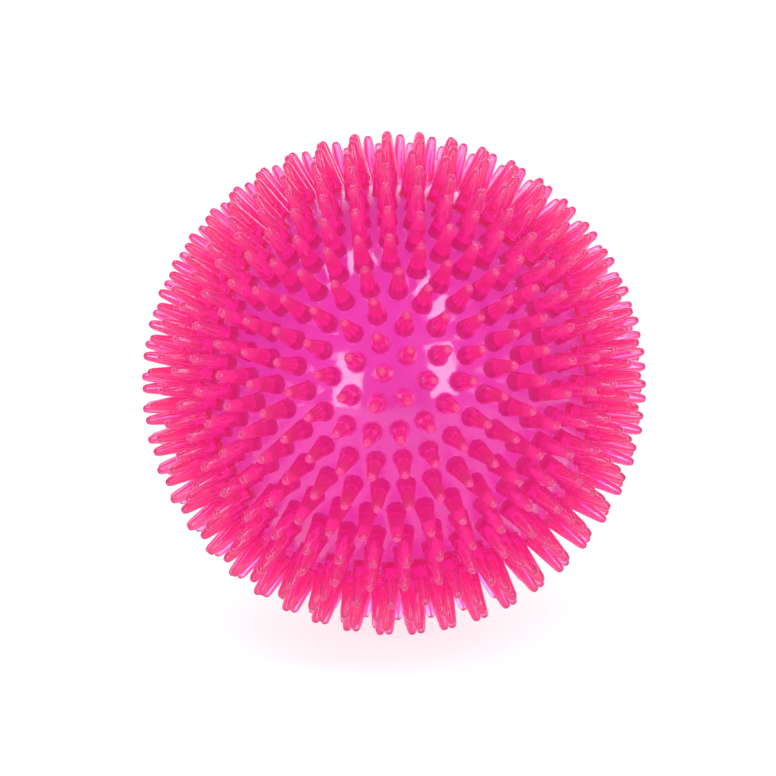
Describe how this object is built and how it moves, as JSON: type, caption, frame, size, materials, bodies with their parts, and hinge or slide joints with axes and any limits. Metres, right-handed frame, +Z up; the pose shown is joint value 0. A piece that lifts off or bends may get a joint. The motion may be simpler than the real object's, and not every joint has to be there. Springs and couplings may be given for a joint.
{
  "type": "spiky dog dental ball",
  "caption": "Hollow translucent pink rubber ball covered with tapered round-ended spikes, made as two joined half shells with a squeaker plugged into the rear pole.",
  "frame": {"origin": "centre of the ball", "axes": "+Z up as the ball lies on a floor, the front pole looks along -Y and about 23 degrees up, +X to the right seen from the front"},
  "size_m": [0.0998, 0.1, 0.0998],
  "materials": {
    "shell_rubber": "glossy, translucent",
    "squeaker_plastic": "satin",
    "reed_film": "clear, glossy"
  },
  "bodies": {
    "ball": {"front_shell": "shell_rubber", "rear_shell": "shell_rubber", "squeaker_housing": "squeaker_plastic", "reed_carrier": "squeaker_plastic", "reed_wedge": "squeaker_plastic"},
    "reed": {"reed": "reed_film"}
  },
  "joints": [
    {"name": "reed_flutter", "type": "hinge", "parent": "ball", "child": "reed", "pos_m": [-0.0002, 0.02986, -0.01241], "axis": [0.9999, -0.0004, -0.0168], "range_deg": [-4, 4], "stiffness_Nm_per_rad": 0.002}
  ]
}
